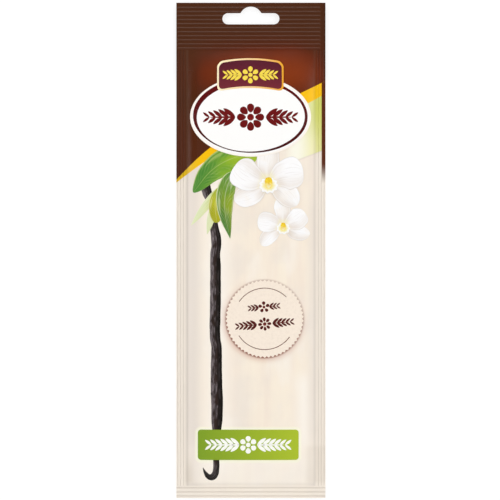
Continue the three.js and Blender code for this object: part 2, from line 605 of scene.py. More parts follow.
def paintBack(tree):
    x, y = millimetres(tree)
    blur, edge, rim = frontPaint["edgeBlur"], backPrint["headerEdge"], backPrint["panelRim"]
    gap = boxDistance(x, y, backPrint["panelCentre"], backPrint["panelHalf"], backPrint["panelCorner"])
    ruleEdge = edge - backPrint["ruleWidth"]
    return shadeSeals(x, y, coats(
        backPrint, creamField(x, y),
        (gap.smooth(rim + blur, rim - blur), "rim"),
        (gap.smooth(blur, -blur), "panel"),
        (y.smooth(ruleEdge - blur, ruleEdge + blur), frontPaint["band"]),
        (y.smooth(edge - blur, edge + blur), frontPaint["brown"])))


def buildSachetTree():
    tree, g = startTree("sealedSachet", {
        "Half Width": halfWidth, "Half Length": halfLength, **film,
        "Front Material": "Material", "Back Material": "Material",
    })
    columns = g["Side Columns"] * 2.0 + g["Pouch Columns"]
    rows = g["Header Rows"] + g["Pouch Rows"] + g["Bottom Rows"]
    slab = result(tree, "GeometryNodeMeshCube", {
        "Size": (1, 1, 1), "Vertices X": columns + 1.0, "Vertices Y": rows + 1.0, "Vertices Z": 2})
    across, along, through = place(tree)
    isFront = through.above(0.0)

    # across: a fine stretch at each side seal, and the pouch between them
    sideZone = g["Side Columns"] * (1 / columnsPerGroove) * g["Side Groove Pitch"]
    share = g["Side Columns"] / columns
    u = across + 0.5
    pouchPart = crowdEnds(u.ramp(share, 1.0 - share))
    sideParts = u.ramp(0.0, share) + u.ramp(1.0 - share, 1.0)
    x = sideParts * sideZone + pouchPart * ((g["Half Width"] - sideZone) * 2.0) - g["Half Width"]

    # along: fine stretches at the bottom seal and the header
    headerZone = g["Header Rows"] * (1 / rowsPerRib) * g["Rib Pitch"]
    bottomZone = g["Bottom Rows"] * (1 / rowsPerGroove) * g["Bottom Groove Pitch"]
    lowShare = g["Bottom Rows"] / rows
    highShare = 1.0 - g["Header Rows"] / rows
    v = along + 0.5
    between = g["Half Length"] * 2.0 - headerZone - bottomZone
    y = v.ramp(0.0, lowShare) * bottomZone + crowdEnds(v.ramp(lowShare, highShare)) * between
    y = y + v.ramp(highShare, 1.0) * headerZone - g["Half Length"]

    # how far from each edge a point is, and how far inside the pouch
    fromSide, fromTop, fromBottom = g["Half Width"] - abs(x), g["Half Length"] - y, y + g["Half Length"]
    pouchHalf = g["Half Width"] - g["Side Seal"]
    sideInset = pouchHalf - abs(x)
    topInset = g["Half Length"] - g["Header Depth"] - y
    bottomInset = fromBottom - g["Bottom Seal"]
    endInset = topInset.atMost(bottomInset)

    # pressed ribs and grooves
    ribEnds = (g["Half Width"] - x).smooth(2.6 * mm, 3.4 * mm)
    ribEnds = ribEnds * (x + g["Half Width"]).smooth(0.3 * mm, 1.0 * mm)
    ribs = ridges(fromTop, g["Rib First"], g["Rib Pitch"], g["Rib Count"])
    crimp = ribs * topInset.smooth(0.3 * mm, -0.3 * mm) * ribEnds * g["Rib Height"]
    sideGrooves = ridges(fromSide, g["Side Groove First"], g["Side Groove Pitch"], g["Groove Count"])
    besidePouch = topInset.smooth(-0.5 * mm, 0.5 * mm) * bottomInset.smooth(-2.5 * mm, 0.2 * mm)
    bottomGrooves = ridges(
        fromBottom, g["Bottom Groove First"], g["Bottom Groove Pitch"], g["Groove Count"])
    grooves = sideGrooves * besidePouch + bottomGrooves * bottomInset.smooth(0.4 * mm, -0.2 * mm)
    crimp = crimp - grooves * g["Groove Depth"]

    # the front sheet's swell, its puckers at the seals and its long waves
    leave = rise(sideInset, g["Side Reach"]) * rise(endInset, g["End Reach"])
    spread = x / pouchHalf
    swell = leave * (1.0 - spread * spread * g["Crown Share"]) * g["Front Swell"]
    sidePucker = noise(x / (26 * mm), y / (7 * mm), g["Seed"]) - 0.5
    sidePucker = sidePucker * (sideInset.atLeast(0.0) / (-9 * mm)).exp()
    endPucker = noise(x / (7 * mm), y / (30 * mm), g["Seed"] + 7.0) - 0.5
    endPucker = endPucker * (endInset.atLeast(0.0) / (-16 * mm)).exp() * 1.6
    waves = noise(x / (17 * mm), y / (48 * mm), g["Seed"] + 3.0, detail=1.0) - 0.5
    swell = swell + ((sidePucker + endPucker) * g["Pucker"] * 2.0 + waves * g["Wave"]) * leave

    # the back sheet eases down to the floor, and the seals curl a little
    flat = sideInset.smooth(0.0, 7 * mm) * endInset.smooth(0.0, 11 * mm)
    curl = noise(x / (60 * mm), y / (55 * mm), g["Seed"] + 5.0, detail=1.0) - 0.5
    seal = g["Seal Middle"] + crimp + curl * g["Curl"] * 2.0 * (1.0 - flat)
    top = seal + g["Film Thickness"] * 0.5 + swell
    bottom = seal - g["Film Thickness"] * 0.5 - flat * g["Back Drop"]
    z = top * isFront + bottom * (1.0 - isFront)

    realized = change(moveTo(slab, x, y, z), "RealizeInstances")
    printed = change(realized, "SetMaterial", {"Material": g["Front Material"]})
    facing = split(result(tree, "GeometryNodeInputNormal"))[2]
    backOnly = {"Selection": facing.below(-0.01), "Material": g["Back Material"]}
    return endTree(change(printed, "SetMaterial", backOnly))


# The hang slot: a bar with round ends and a round hump, which meets the bar in small fillets.
slot = {
    "width": 32 * mm,
    "height": 6.3 * mm,
    "bottomFromTop": 12.15 * mm,
    "humpRise": 3.63 * mm,
    "humpRadius": 6.37 * mm,
    "fillet": 1.0 * mm,
    "arcSteps": 20,
    "cutDepth": 8 * mm,
}


def slotOutline():
    endRadius, hump, fillet = slot["height"] / 2, slot["humpRadius"], slot["fillet"]
    endX = slot["width"] / 2 - endRadius
    humpY = slot["height"] + slot["humpRise"] - hump
    filletY = slot["height"] + fillet
    filletX = math.sqrt((hump + fillet) ** 2 - (filletY - humpY) ** 2)
    turn = math.atan2(filletY - humpY, filletX)
    quarter = math.pi / 2
    bottom = halfLength - slot["bottomFromTop"]
    points = []
    for (x, y), radius, start, end, parts in (
        ((endX, endRadius), endRadius, -quarter, quarter, 1),
        ((filletX, filletY), fillet, -quarter, turn - math.pi, 1),
        ((0, humpY), hump, turn, math.pi - turn, 2),
        ((-filletX, filletY), fillet, -turn, -quarter, 1),
        ((-endX, endRadius), endRadius, quarter, 3 * quarter, 1),
    ):
        steps = parts * slot["arcSteps"]
        for i in range(steps + 1):
            angle = start + (end - start) * i / steps
            points.append((x + radius * math.cos(angle), y + radius * math.sin(angle) + bottom))
    return [p for i, p in enumerate(points) if math.dist(p, points[i - 1]) > 0.001 * mm]


def makeSlotCutter():
    outline = slotOutline()
    count, reach = len(outline), slot["cutDepth"] / 2
    points = [(x, y, z) for z in (-reach, reach) for x, y in outline]
    faces = [tuple(reversed(range(count))), tuple(range(count, 2 * count))]
    faces += [(i, (i + 1) % count, (i + 1) % count + count, i + count) for i in range(count)]
    mesh = bpy.data.meshes.new("slotCutter")
    mesh.from_pydata(points, [], faces)
    return addObject("slotCutter", mesh)


slotCutter = makeSlotCutter()
sachetValues = {
    **film, "Half Width": halfWidth, "Half Length": halfLength,
    "Front Material": makeFilmMaterial("frontPrintAndPaintedLight", paintFront, polishFront),
    "Back Material": makeFilmMaterial("backPrintAndPaintedLight", paintBack),
}
sachetFilm = makeMesh("sachetFilm", buildSachetTree(), sachetValues, cutter=slotCutter)
bpy.data.objects.remove(slotCutter)
finishPiece(sachetFilm)
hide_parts("sachet")
print("film made,", len(sachetFilm.data.polygons), "faces")


dropFrom = 50 * mm  # well above the film


# Lays flat print on the film: each point drops onto the front sheet, and the print gets a thin
# closed body that sinks a little into the film.
def buildLayTree():
    tree, given = startTree("layOnFilm", {"Film": "Object", "Lift": 0.04 * mm, "Sink": 0.05 * mm})
    x, y, z = place(tree)
    ray = addNode(tree, "GeometryNodeRaycast", {
        "Target Geometry": shapeOf(given["Film"]),
        "Source Position": join(x, y, dropFrom),
        "Ray Direction": (0, 0, -1),
        "Ray Length": 2 * dropFrom,
    })
    height = split(out(ray, "Hit Position"))[2]
    under = moveTo(weld(given["Geometry"]), x, y, height - given["Sink"])
    upwards = {"Offset": (0, 0, 1), "Offset Scale": given["Lift"] + given["Sink"], "Individual": False}
    joined = addNode(tree, "GeometryNodeJoinGeometry")
    for part in (change(under, "ExtrudeMesh", upwards), change(under, "FlipFaces")):
        tree.links.new(part.socket, joined.inputs[0])
    return endTree(weld(out(joined)))


layTree = buildLayTree()
layInputs = {"Film": "Object", "Lift": 0.04 * mm, "Print": "Material"}


def endPrintTree(geometry, given):
    inputs = {"Geometry": geometry, "Film": given["Film"], "Lift": given["Lift"]}
    return endTree(result(geometry.tree, "GeometryNodeGroup", inputs, node_tree=layTree), given["Print"])


def ease(share):  # 0 to 1, slow at both ends
    return 0.5 - (share * math.pi).cos() * 0.5


# A blade's width follows (share ** start) * ((1 - share) ** end), and is 1 where it is widest.
def bladeWidth(share, given):
    start, end = given["Start Power"], given["End Power"]
    peak = (start / (start + end)) ** start * (end / (start + end)) ** end
    return share ** start * ((1.0 - share) ** end) / peak


def samplePath(given, share):  # place, direction and radius at a share of a path's length
    tree = share.tree
    inputs = {
        "Curves": shapeOf(given["Path"]), "Factor": share,
        "Value": result(tree, "GeometryNodeInputRadius"),
    }
    sample = addNode(tree, "GeometryNodeSampleCurve", inputs, mode="FACTOR", use_all_curves=True)
    px, py, pz = split(out(sample, "Position"))
    tx, ty, tz = split(out(sample, "Tangent"))
    return px, py, tx, ty, out(sample, "Value")


def placeCopies(blade, count, x, y, turn, size=None):
    points = moveTo(result(blade.tree, "GeometryNodeMeshLine", {"Count": count}), x, y)
    inputs = {"Instance": blade, "Rotation": join(0.0, 0.0, turn)}
    if size is not None:
        inputs["Scale"] = join(size, size, 1.0)
    return change(change(points, "InstanceOnPoints", inputs), "RealizeInstances")


# A tapering blade along a path, as wide as the rule above times the path's own radius.
def buildRibbonTree():
    tree, given = startTree("ribbonAlongPath", {
        "Path": "Object", "Steps": 40, "Across": 8, "Half Width": 4 * mm,
        "Start Power": 0.6, "End Power": 0.6, "Uneven": 0.0, "Ripple": 6.0, "Seed": 1, **layInputs,
    })
    flat, gx, gy = gridOf(given["Steps"], given["Across"])
    share = ease(gx + 0.5)
    side = gy * 2.0
    px, py, tx, ty, radius = samplePath(given, share)
    width = bladeWidth(share, given) * given["Half Width"] * radius
    rough = noise(share * given["Ripple"], side * 0.8, given["Seed"]) - 0.5
    offset = side * width * (rough * given["Uneven"] * 2.0 + 1.0)
    mapped = storeUv(flat, share, gy + 0.5)
    return endPrintTree(moveTo(mapped, px - ty * offset, py + tx * offset), given)


# A disc, ring or arc. Its stroke can swell once (Lean) or twice (Swing) on the way round, and its
# outer edge can be cut into teeth: pointed ones take four steps each, and round scallops ten.
def buildRingTree():
    tree, given = startTree("ellipseRing", {
        "Centre X": 0.0, "Centre Y": 0.0, "Radius X": 10 * mm, "Radius Y": 10 * mm,
        "Stroke X": 1 * mm, "Stroke Y": 1 * mm, "Outset": 0.0, "Lean": 0.0, "Lean Angle": 0.0,
        "Swing": 0.0, "Swing Angle": 0.0, "Start Angle": 0.0, "Sweep": fullTurn,
        "Steps": 96, "Rings": 2, "Teeth": 0, "Tooth Depth": 0.0, **layInputs,
    })
    flat, gx, gy = gridOf(given["Steps"], given["Rings"])
    u = gx + 0.5
    angle = given["Start Angle"] + u * given["Sweep"]
    inward = 0.5 - gy
    lean = (angle - given["Lean Angle"]).cos() * given["Lean"]
    swing = ((angle - given["Swing Angle"]) * 2.0).cos() * given["Swing"]
    across = (given["Outset"] - inward) * (lean + swing + 1.0)
    scallop = (u * given["Teeth"] * fullTurn).cos() * 0.5 + 0.5
    notch = scallop * given["Tooth Depth"] * (1.0 - inward) ** 2.0
    rx = (given["Radius X"] + across * given["Stroke X"] - notch).atLeast(0.0)
    ry = (given["Radius Y"] + across * given["Stroke Y"] - notch).atLeast(0.0)
    x, y = given["Centre X"] - angle.cos() * rx, given["Centre Y"] + angle.sin() * ry
    return endPrintTree(moveTo(storeUv(flat, u, gy + 0.5), x, y), given)


# A rectangle with round corners, whose middle can bow upwards.
def buildPanelTree():
    tree, given = startTree("roundPanel", {
        "Centre X": 0.0, "Centre Y": 0.0, "Half X": 20 * mm, "Half Y": 8 * mm,
        "Corner": 2 * mm, "Bow": 0.0, "Columns": 60, "Rows": 20, **layInputs,
    })
    flat, gx, gy = gridOf(given["Columns"], given["Rows"])
    x, y = gx * given["Half X"] * 2.0, gy * given["Half Y"] * 2.0
    innerX, innerY = given["Half X"] - given["Corner"], given["Half Y"] - given["Corner"]
    cx = x.atMost(innerX).atLeast(innerX * -1.0)
    cy = y.atMost(innerY).atLeast(innerY * -1.0)
    dx, dy = x - cx, y - cy
    length = (dx * dx + dy * dy).root().atLeast(1e-9)
    reach = abs(dx).atLeast(abs(dy)) / length
    bow = (1.0 - gx * gx * 4.0) * given["Bow"]
    across, along = cx + dx * reach + given["Centre X"], cy + dy * reach + given["Centre Y"]
    return endPrintTree(moveTo(storeUv(flat, gx + 0.5, gy + 0.5), across, along + bow), given)


# Leaf-shaped blades set round a centre, as in a rosette.
def buildRosetteTree():
    tree, given = startTree("bladesAroundCentre", {
        "Centre X": 0.0, "Centre Y": 0.0, "Blades": 5, "First Angle": 90.0, "Inner Radius": 1 * mm,
        "Blade Length": 4 * mm, "Blade Half Width": 1 * mm, "Start Power": 0.7, "End Power": 0.5,
        "Steps": 12, "Across": 4, **layInputs,
    })
    flat, gx, gy = gridOf(given["Steps"], given["Across"])
    share = ease(gx + 0.5)
    width = bladeWidth(share, given) * given["Blade Half Width"]
    blade = moveTo(flat, given["Inner Radius"] + share * given["Blade Length"], gy * 2.0 * width)
    index = result(tree, "GeometryNodeInputIndex")
    turn = given["First Angle"] * (math.pi / 180) + index * fullTurn / given["Blades"]
    copies = placeCopies(blade, given["Blades"], given["Centre X"], given["Centre Y"], turn)
    return endPrintTree(copies, given)


# Pairs of small leaves along a path, as on a laurel sprig. They shrink towards its end.
def buildSprigTree():
    tree, given = startTree("leavesAlongPath", {
        "Path": "Object", "Pairs": 5, "Leaf Length": 4 * mm, "Leaf Half Width": 0.8 * mm,
        "Lean": 35.0, "End Scale": 0.5, "Steps": 12, "Across": 4, **layInputs,
    })
    flat, gx, gy = gridOf(given["Steps"], given["Across"])
    share = ease(gx + 0.5)
    width = (share * (1.0 - share)) ** 0.8 * 3.03 * given["Leaf Half Width"]
    leaf = moveTo(flat, share * given["Leaf Length"], gy * 2.0 * width)
    index = result(tree, "GeometryNodeInputIndex")
    pair = (index * 0.5 + 0.01).floor()
    sideSign = (index - pair * 2.0) * 2.0 - 1.0
    along = pair / (given["Pairs"] - 1.0).atLeast(1.0)
    px, py, tx, ty, radius = samplePath(given, along)
    heading = ty.calc("ARCTAN2", tx) + sideSign * given["Lean"] * (math.pi / 180)
    size = 1.0 - along * (1.0 - given["End Scale"])
    return endPrintTree(placeCopies(leaf, given["Pairs"] * 2.0, px, py, heading, size), given)


ribbonTree = buildRibbonTree()
ringTree = buildRingTree()
panelTree = buildPanelTree()
rosetteTree = buildRosetteTree()
sprigTree = buildSprigTree()


def makePath(name, points):  # a smooth curve through points, some with a radius
    curve = bpy.data.curves.new(name, "CURVE")
    curve.dimensions = "3D"
    curve.resolution_u = 24
    spline = curve.splines.new("BEZIER")
    spline.bezier_points.add(len(points) - 1)
    for bezier, (x, y, *radius) in zip(spline.bezier_points, points):
        bezier.co = (x * mm, y * mm, 0)
        bezier.radius = radius[0] if radius else 1.0
        bezier.handle_left_type = bezier.handle_right_type = "AUTO"
    return addObject(name, curve)


liftOf = {  # how far each print stands above the film, in the order that they overlap
    "pod": 0.04, "roundel": 0.04, "roundelMark": 0.055, "leaf": 0.055, "label": 0.07,
    "labelMark": 0.09, "blossomSmall": 0.08, "blossomLarge": 0.165, "petalStep": 0.012,
    "oval": 0.26, "ovalMark": 0.28, "plaqueRim": 0.3, "plaque": 0.32, "plaqueMark": 0.34,
}


# A print from its tree. The sizes are in millimetres, and the values are not lengths.
def makePrint(name, tree, lift, material, sizes, path=None, **values):
    laid = {key: size * mm for key, size in {**sizes, "Lift": lift}.items()}
    laid.update({key.replace("_", " "): value for key, value in values.items()})
    laid.update({"Film": sachetFilm, "Print": material})
    if path is not None:
        laid["Path"] = makePath(name + "Path", path)
    piece = makeMesh(name, tree, laid)
    if path is not None:
        bpy.data.objects.remove(laid["Path"])
    return piece


def joinPieces(name, parts):
    main = parts[0]
    with bpy.context.temp_override(active_object=main, selected_editable_objects=parts):
        bpy.ops.object.join()
    main.name = name
    return main


def perAxis(**pairs):  # Centre=(1, 2) gives "Centre X" and "Centre Y"
    return {name + " " + axis: value for name, pair in pairs.items() for axis, value in zip("XY", pair)}


def makeDisc(name, lift, material, centre, radii, sizes=None, **values):
    disc = {**perAxis(Centre=centre, Radius=radii, Stroke=radii), **(sizes or {})}
    return makePrint(name, ringTree, lift, material, disc, **values)


bladeStart = 1.35  # where a rosette's blades begin, in radii of its hub


# A plain rosette between two laurel sprigs, the ornament of every printed field
def makeLaurel(name, centre, values, lift, material, tilt=0.0):
    inner = values["hub"] * bladeStart
    blades = {
        **perAxis(Centre=centre), "Inner Radius": inner,
        "Blade Length": values["petalLength"] - inner, "Blade Half Width": values["petalHalfWidth"],
    }
    turned = {"Blades": values["petals"], "First_Angle": 90.0 + tilt}
    parts = [makePrint("rosette", rosetteTree, lift, material, blades, **turned)]
    hub = (values["hub"], values["hub"])
    parts.append(makeDisc("hub", lift, material, centre, hub, Steps=24, Rings=2))
    leaf = {"Leaf Length": values["leafLength"], "Leaf Half Width": values["leafHalfWidth"]}
    row = {"Pairs": values["pairs"], "Lean": values["lean"], "End_Scale": values["endScale"]}
    stem = {"Start_Power": 0.2, "End_Power": 0.6, "Across": 2}
    across, up = math.cos(math.radians(tilt)), math.sin(math.radians(tilt))
    for side in (-1, 1):
        reaches = [side * (values["from"] * (1 - i) + values["to"] * i) for i in (0, 0.5, 1)]
        points = [(centre[0] + reach * across, centre[1] + reach * up) for reach in reaches]
        parts.append(makePrint("sprig", sprigTree, lift, material, leaf, points, **row))
        width = {"Half Width": values["stem"]}
        parts.append(makePrint("stem", ribbonTree, lift, material, width, points, **stem))
    return finishPiece(joinPieces(name, parts))


# The pod: long, dark and wrinkled, with a hooked end

pod = {
    "path": [  # x, y and share of the half width
        (-26.2, 40, 0.9), (-24.4, 32, 0.95), (-21.0, 24, 0.5), (-20.1, 16.5, 0.45), (-20.3, 12.4, 0.8),
        (-19.6, 7.4, 0.93), (-19.4, 2.3, 0.93), (-19.9, -1.2, 0.9), (-19.8, -9, 0.98), (-19.8, -20, 1.0),
        (-19.8, -28, 1.0), (-20.0, -36.5, 1.0), (-20.0, -49, 0.97), (-19.3, -53.9, 0.95),
        (-19.3, -61.8, 1.02), (-19.2, -75.9, 1.07), (-18.9, -87, 1.1), (-19.0, -94.4, 1.05),
        (-19.1, -100.6, 0.84), (-19.3, -109, 0.67), (-19.4, -118, 0.58), (-19.5, -122.5, 0.6),
        (-20.2, -125.6, 0.64), (-21.7, -127.0, 0.66), (-23.5, -126.9, 0.54), (-25.3, -125.0, 0.34),
        (-26.9, -121.7, 0.04),
    ],
    "halfWidth": 3.0,
    **inks(dark="110d0a", middle="2a2320", light="887d80", brown="3c2b25"),
}


def paintPod(tree):
    u, v = uvOf(tree)
    bend = noise(u * 20.0, 0.5, 2.0, detail=3.0) - 0.5
    across = 1.0 - v + bend * 0.3
    fibre = noise(u * 30.0, across * 9.0, 1.0, detail=5.0, roughness=0.65)
    knots = noise(u * 34.0, across * 2.5, 6.0, detail=3.0)
    patchy = (knots.smooth(0.32, 0.6) + bell(u, 0.34, 0.06) * 0.6).atMost(1.0)
    shaded = across.smooth(0.46, 0.2) * 0.55
    return coats(
        pod, "dark",
        (fibre.smooth(0.4, 0.66), "middle"),
        (bell(across, 0.6, 0.24) * knots.smooth(0.7, 0.35) * 0.6, "brown"),
        (bell(across, 0.78, 0.15) * fibre.smooth(0.38, 0.6) * patchy, "light"),
        (bell(across, 0.97, 0.09) * knots.smooth(0.3, 0.5) * 0.7, "light"),
        (bell(across, 0.5, 0.055) * knots.smooth(0.46, 0.66) * 0.8, "light"),
        (bell(across, 0.24, 0.06) * knots.smooth(0.56, 0.42) * 0.3, "light"),
        (shaded.atLeast(u.smooth(0.9, 0.97) * 0.8), "dark"),
        (v.smooth(0.9, 1.0), "dark"),
        (v.smooth(0.04, 0.0) * 0.4, "dark"))


finishPiece(makePrint(
    "podPrint", ribbonTree, liftOf["pod"], makeFilmMaterial("podPrint", paintPod),
    {"Half Width": pod["halfWidth"]}, pod["path"], Steps=260, Across=10, Start_Power=0.02,
    End_Power=0.02, Uneven=0.1, Ripple=34.0, Seed=3))
print("pod printed")

# Leaves and buds on the left

greens = {
    "leaf": inks(stalk="a0bd2a", middle="7aa834", tip="4d8a35", vein="c3d37c"),
    "sepal": inks(stalk="5f8f3a", middle="98ab2c", tip="4f7f34", vein="eef0c4"),
    "bud": inks(stalk="9fae3a", middle="cfcb34", tip="a8a81c", vein="ecebb0"),
    "pale": inks(stalk="b7c46a", middle="dde3a4", tip="dfe6b8", vein="f3f4dc"),
}


def makeLeafMaterial(name):
    def paint(tree):
        u, v = uvOf(tree)
        side = abs(v - 0.5)
        blotch = noise(u * 5.0, v * 3.0, 2.0, detail=4.0)
        gloss = noise(u * 3.0, v * 9.0, 7.0, detail=3.0)
        veins = ((u * 13.0 + side * 6.0 + blotch * 1.6) * fullTurn).sin().smooth(0.2, 1.0)
        veins = veins * side.smooth(0.02, 0.1) * blotch.smooth(0.35, 0.6)
        glint = gloss.smooth(0.52, 0.72) * (u - 0.5 - side * 0.4).smooth(0.35, 0.0)
        return coats(
            greens[name], "stalk",
            ((u + blotch * 0.5 - 0.25).smooth(0.05, 0.6), "middle"),
            ((u + blotch * 0.7 - v * 0.5).smooth(0.35, 0.95), "tip"),
            (veins * 0.16, "vein"),
            (glint * 0.45, "vein"),
            (side.smooth(0.025, 0.005) * 0.45, "vein"),
            (v.smooth(0.09, 0.01) * 0.75, "vein"))

    return makeFilmMaterial(name + "Print", paint)


leafMaterials = {name: makeLeafMaterial(name) for name in greens}
leaves = {  # half width, powers, green, and points from the stalk to the tip
    "leafUpper": (7.6, 0.3, 0.62, "leaf", [(3, 55), (-9, 52), (-21, 45.5), (-32.3, 32.5)]),
    "sepalPale": (2.4, 0.7, 0.9, "pale", [(-17, 30), (-21, 22), (-24.5, 9)]),
    "sepalLeft": (2.4, 0.7, 0.9, "pale", [(-15, 37), (-22, 29), (-33.5, 14)]),
    "bud": (3.7, 0.6, 0.4, "bud", [(-17, 36), (-19.8, 27), (-19.2, 15.5)]),
    "sepalRight": (5.0, 0.5, 1.0, "sepal", [(-9.5, 44), (-13.5, 35), (-14.6, 24), (-11.6, 6.5)]),
}
for i, (name, (width, start, end, green, points)) in enumerate(leaves.items()):
    lift = liftOf["leaf"] + i * liftOf["petalStep"]
    finishPiece(makePrint(
        name + "Print", ribbonTree, lift, leafMaterials[green], {"Half Width": width}, points,
        Start_Power=start, End_Power=end, Uneven=0.06, Steps=60, Across=12))
print("leaves printed")

# Blossoms on the right, each with five round petals and a yellow heart

blossomInks = inks(
    white="fffefe", shade="e3d5c6", fold="cdc4bc", lilac="f1ebf0", cream="f6ebdd", heart="fbe04a",
    heartDeep="ecc01c", heartPale="f7efbf")


def makePetalMaterial(name, hollow, faint):
    def paint(tree):
        u, v = uvOf(tree)
        x, y = millimetres(tree)
        side = abs(v - 0.5) * 2.0
        streak = noise(u * 2.5, v * 14.0, 4.0, detail=3.0)
        cloud = noise(x / 7.0, y / 7.0, 9.0)
        veins = noise(u * 1.5, v * 26.0, 4.0).smooth(0.52, 0.7)
        return coats(
            blossomInks, "white",
            ((v + cloud * 0.5).smooth(0.85, 0.25) * hollow * 0.75, "shade"),
            ((u + cloud * 0.3).smooth(0.72, 0.3) * hollow * 0.9, "shade"),
            (bell(v, 0.56, 0.1) * u.smooth(0.95, 0.5) * 0.5, "white"),
            (veins * side.smooth(0.9, 0.6) * 0.3, "fold"),
            (streak.smooth(0.45, 0.75) * u.smooth(1.0, 0.4) * 0.25, "lilac"),
            (cloud.smooth(0.35, 0.7) * faint, "cream"),
            (side.smooth(0.78, 0.9) * side.smooth(0.97, 0.9) * 0.5, "white"),
            (side.smooth(0.94, 1.0) * (cloud * 0.5 + 0.35), "fold"),
            (u.smooth(0.3, 0.04) * 0.8, "heartPale"))

    return makeFilmMaterial(name, paint)


def paintLip(tree):
    u, v = uvOf(tree)
    outward = v + (noise(u * 40.0, v * 1.2, 3.0) - 0.5) * 0.35
    return coats(
        blossomInks, "heart",
        (outward.smooth(0.15, 0.62), "heartPale"),
        (outward.smooth(0.5, 0.86), "white"),
        (v.smooth(0.93, 1.0) * 0.55, "fold"))


def paintThroat(tree):
    u, v = uvOf(tree)
    x, y = millimetres(tree)
    tuft = noise(x / 1.2, y / 1.2, 3.0, detail=4.0, roughness=0.7)
    return coats(
        blossomInks, "heartDeep",
        (tuft.smooth(0.38, 0.64), "heart"),
        ((u + tuft * 0.4).smooth(0.6, 1.2), "heartPale"))


petalMaterials = {
    "outer": makePetalMaterial("outerPetalPrint", 0.9, 0.35),
    "inner": makePetalMaterial("innerPetalPrint", 0.55, 0.05),
}
lipMaterial = makeFilmMaterial("lipPrint", paintLip)
throatMaterial = makeFilmMaterial("throatPrint", paintThroat)
blossoms = {
    "blossomSmall": {
        "centre": (18.0, 13.5),
        "outer": {
            "angles": (100, 222, 344), "length": 15.5, "halfWidth": 4.4, "bend": -0.08, "powers": (0.8, 0.6)},
        "inner": {
            "angles": (32, 170), "length": 14.0, "halfWidth": 5.8, "bend": -0.06, "powers": (0.8, 0.42)},
        "lip": {"radii": (4.0, 3.44), "scallops": 9, "depth": 0.6, "offset": (0.1, -1.2)},
        "throat": {"length": 4.3, "halfWidth": 1.45},
    },
    "blossomLarge": {
        "centre": (9.5, 38.0),
        "outer": {
            "angles": (84, 208, 322), "length": 20.5, "halfWidth": 6.4, "bend": 0.06, "powers": (0.8, 0.55)},
        "inner": {
            "angles": (16, 154), "length": 20.0, "halfWidth": 9.0, "bend": 0.08, "powers": (0.8, 0.4)},
        "lip": {"radii": (5.6, 4.8), "scallops": 11, "depth": 0.8, "offset": (0.4, -1.6)},
        "throat": {"length": 6.0, "halfWidth": 2.1},
    },
}


def petalPath(centre, length, angle, bend):  # a gentle arc outwards, bent aside by a share of it
    along = Vector((math.cos(math.radians(angle)), math.sin(math.radians(angle))))
    aside = Vector((-along.y, along.x))
    start = Vector(centre) + along * length * 0.03
    points = [start, start + along * length * 0.5 + aside * length * bend, start + along * length]
    return [tuple(point) for point in points]


petalSpread = 0.06  # how much the lengths of a blossom's petals differ


def makeBlossom(name, values):
    centre = values["centre"]
    parts = []

    def nextLift():
        return liftOf[name] + len(parts) * liftOf["petalStep"]

    for kind, material in petalMaterials.items():
        petals = values[kind]
        start, end = petals["powers"]
        for i, angle in enumerate(petals["angles"]):
            length = petals["length"] * (1 + petalSpread * math.sin(3 * i))
            points = petalPath(centre, length, angle, petals["bend"])
            parts.append(makePrint(
                "petal", ribbonTree, nextLift(), material, {"Half Width": petals["halfWidth"]}, points,
                Start_Power=start, End_Power=end, Steps=44, Across=22, Uneven=0.16, Ripple=3.2,
                Seed=21 + i))
    lip, throat = values["lip"], values["throat"]
    middle = (centre[0] + lip["offset"][0], centre[1] + lip["offset"][1])
    parts.append(makeDisc(
        "lip", nextLift(), lipMaterial, middle, lip["radii"], {"Tooth Depth": lip["depth"]},
        Rings=8, Steps=10 * lip["scallops"], Teeth=lip["scallops"]))
    points = [(middle[0], middle[1] + throat["length"] * share) for share in (0.75, 0, -0.25)]
    parts.append(makePrint(
        "throat", ribbonTree, nextLift(), throatMaterial, {"Half Width": throat["halfWidth"]}, points,
        Start_Power=0.35, End_Power=0.6, Steps=20, Across=8, Uneven=0.2))
    return finishPiece(joinPieces(name + "Print", parts))


for name, values in blossoms.items():
    makeBlossom(name, values)
print("blossoms printed")

# The white oval with its dark red ring and a plain ornament

oval = {
    "centre": (-0.2, 74.9),
    "radii": (33.8, 22.5),
    "ringRadii": (31.1, 20.0),
    "stroke": 1.62,
    "strokeLean": (0.46, 72),  # share of the stroke, and where it is widest in degrees from the left
    "strokeSwing": (0.34, 35),
    "ornamentDrop": 0.4,
    **inks(white="fffefc", rim="fff7ee", ring="430507", ringLight="620909"),
    **inks(red="6c1010", redLight="851713"),
    "laurel": {
        "hub": 1.9, "petals": 8, "petalLength": 7.6, "petalHalfWidth": 2.0,
        "from": 8.6, "to": 23.0, "stem": 0.55,
        "pairs": 5, "leafLength": 8.2, "leafHalfWidth": 1.3, "lean": 37.0, "endScale": 0.55,
    },
}


def paintOval(tree):
    return coats(oval, "white", (uvOf(tree)[1].smooth(0.93, 0.99), "rim"))


